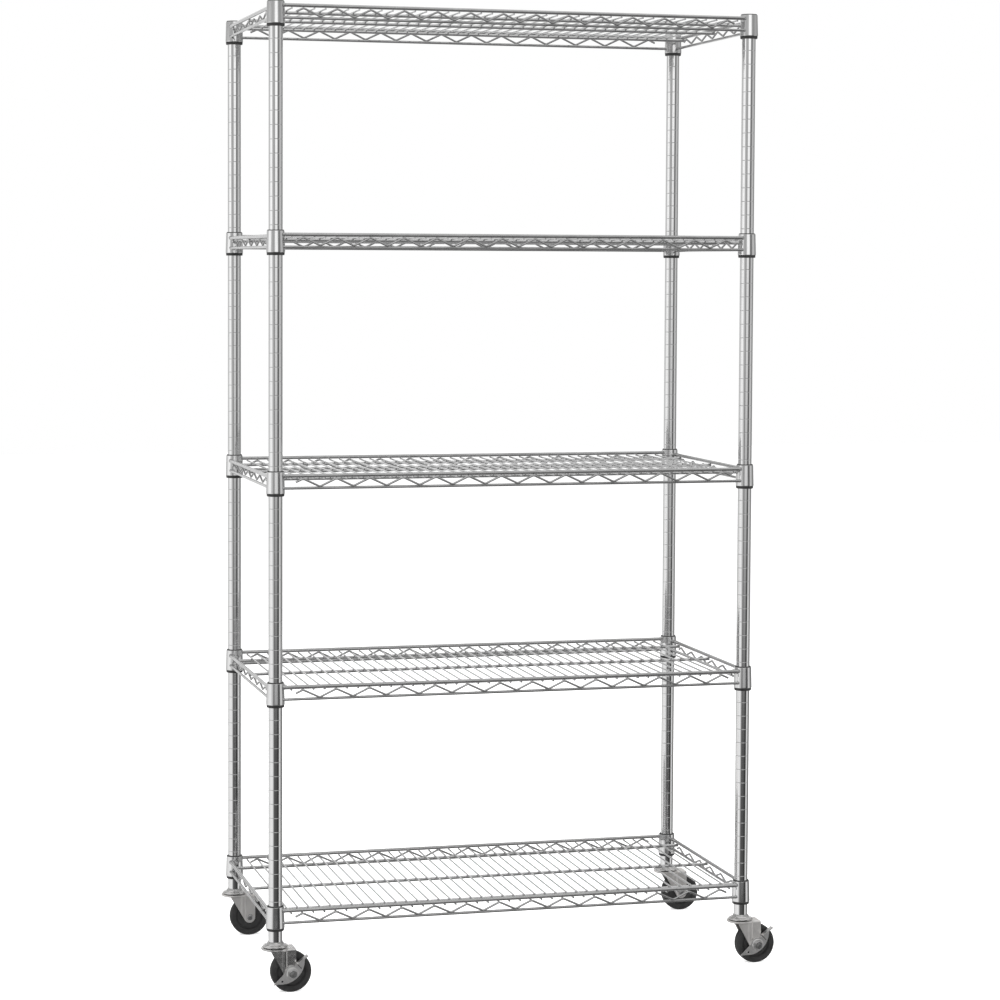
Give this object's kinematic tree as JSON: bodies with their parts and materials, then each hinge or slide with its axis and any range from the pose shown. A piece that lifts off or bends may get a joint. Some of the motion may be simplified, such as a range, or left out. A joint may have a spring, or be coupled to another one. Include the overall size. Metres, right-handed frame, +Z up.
{
  "type": "wire shelving rack",
  "caption": "Chrome-plated wire shelving rack on swivel casters, with adjustable open wire shelves between grooved corner posts and brakes on the front casters.",
  "frame": {"origin": "on the floor, midway between the axes of the four posts", "axes": "+Z up along the posts, +X along the long side towards the side that the casters trail to, +Y from the front (braked casters) to the back"},
  "size_m": [0.983, 0.4988, 1.7841],
  "materials": {
    "chrome_post": "bright chrome plate on grooved steel tube",
    "chrome_wire": "bright chrome plate on drawn steel wire",
    "chrome_collar": "bright chrome plate on pressed steel collars",
    "black_plastic": "moulded black plastic, slightly satin",
    "insert_steel": "plain turned steel",
    "zinc_plate": "zinc-plated pressed sheet steel",
    "zinc_bolt": "zinc-plated turned steel",
    "bearing_steel": "polished steel balls, greased",
    "hub_plastic": "moulded dark grey plastic",
    "rubber_tyre": "matte black rubber"
  },
  "bodies": {
    "rack": {"post_front_left": "chrome_post", "post_front_right": "chrome_post", "post_back_left": "chrome_post", "post_back_right": "chrome_post", "post_caps": "black_plastic", "post_inserts": "insert_steel", "shelf_1_long_trusses": "chrome_wire", "shelf_1_side_trusses": "chrome_wire", "shelf_1_deck": "chrome_wire", "shelf_1_collars": "chrome_collar", "shelf_1_split_sleeves": "black_plastic", "shelf_2_long_trusses": "chrome_wire", "shelf_2_side_trusses": "chrome_wire", "shelf_2_deck": "chrome_wire", "shelf_2_collars": "chrome_collar", "shelf_2_split_sleeves": "black_plastic", "shelf_3_long_trusses": "chrome_wire", "shelf_3_side_trusses": "chrome_wire", "shelf_3_deck": "chrome_wire", "shelf_3_collars": "chrome_collar", "shelf_3_split_sleeves": "black_plastic", "shelf_4_long_trusses": "chrome_wire", "shelf_4_side_trusses": "chrome_wire", "shelf_4_deck": "chrome_wire", "shelf_4_collars": "chrome_collar", "shelf_4_split_sleeves": "black_plastic", "shelf_5_long_trusses": "chrome_wire", "shelf_5_side_trusses": "chrome_wire", "shelf_5_deck": "chrome_wire", "shelf_5_collars": "chrome_collar", "shelf_5_split_sleeves": "black_plastic", "caster_front_left_stem": "zinc_plate", "caster_front_right_stem": "zinc_plate", "caster_back_left_stem": "zinc_plate", "caster_back_right_stem": "zinc_plate"},
    "swivel_front_left": {"caster_front_left_fork": "zinc_plate", "caster_front_left_balls": "bearing_steel", "caster_front_left_axle": "zinc_bolt"},
    "wheel_front_left": {"caster_front_left_hub": "hub_plastic", "caster_front_left_tyre": "rubber_tyre"},
    "brake_front_left": {"caster_front_left_brake_lever": "zinc_plate"},
    "swivel_front_right": {"caster_front_right_fork": "zinc_plate", "caster_front_right_balls": "bearing_steel", "caster_front_right_axle": "zinc_bolt"},
    "wheel_front_right": {"caster_front_right_hub": "hub_plastic", "caster_front_right_tyre": "rubber_tyre"},
    "brake_front_right": {"caster_front_right_brake_lever": "zinc_plate"},
    "swivel_back_left": {"caster_back_left_fork": "zinc_plate", "caster_back_left_balls": "bearing_steel", "caster_back_left_axle": "zinc_bolt"},
    "wheel_back_left": {"caster_back_left_hub": "hub_plastic", "caster_back_left_tyre": "rubber_tyre"},
    "swivel_back_right": {"caster_back_right_fork": "zinc_plate", "caster_back_right_balls": "bearing_steel", "caster_back_right_axle": "zinc_bolt"},
    "wheel_back_right": {"caster_back_right_hub": "hub_plastic", "caster_back_right_tyre": "rubber_tyre"}
  },
  "joints": [
    {"name": "swivel_front_left", "type": "hinge", "parent": "rack", "child": "swivel_front_left", "pos_m": [-0.446, -0.2215, 0], "axis": [0, 0, 1], "continuous": true},
    {"name": "roll_front_left", "type": "hinge", "parent": "swivel_front_left", "child": "wheel_front_left", "pos_m": [-0.418, -0.2215, 0.037], "axis": [0, 1, 0], "continuous": true},
    {"name": "brake_front_left", "type": "hinge", "parent": "swivel_front_left", "child": "brake_front_left", "pos_m": [-0.418, -0.2215, 0.037], "axis": [0, 1, 0], "range_deg": [0, 18]},
    {"name": "swivel_front_right", "type": "hinge", "parent": "rack", "child": "swivel_front_right", "pos_m": [0.446, -0.2215, 0], "axis": [0, 0, 1], "continuous": true},
    {"name": "roll_front_right", "type": "hinge", "parent": "swivel_front_right", "child": "wheel_front_right", "pos_m": [0.474, -0.2215, 0.037], "axis": [0, 1, 0], "continuous": true},
    {"name": "brake_front_right", "type": "hinge", "parent": "swivel_front_right", "child": "brake_front_right", "pos_m": [0.474, -0.2215, 0.037], "axis": [0, 1, 0], "range_deg": [0, 18]},
    {"name": "swivel_back_left", "type": "hinge", "parent": "rack", "child": "swivel_back_left", "pos_m": [-0.446, 0.2215, 0], "axis": [0, 0, 1], "continuous": true},
    {"name": "roll_back_left", "type": "hinge", "parent": "swivel_back_left", "child": "wheel_back_left", "pos_m": [-0.418, 0.2215, 0.037], "axis": [0, 1, 0], "continuous": true},
    {"name": "swivel_back_right", "type": "hinge", "parent": "rack", "child": "swivel_back_right", "pos_m": [0.446, 0.2215, 0], "axis": [0, 0, 1], "continuous": true},
    {"name": "roll_back_right", "type": "hinge", "parent": "swivel_back_right", "child": "wheel_back_right", "pos_m": [0.474, 0.2215, 0.037], "axis": [0, 1, 0], "continuous": true}
  ]
}
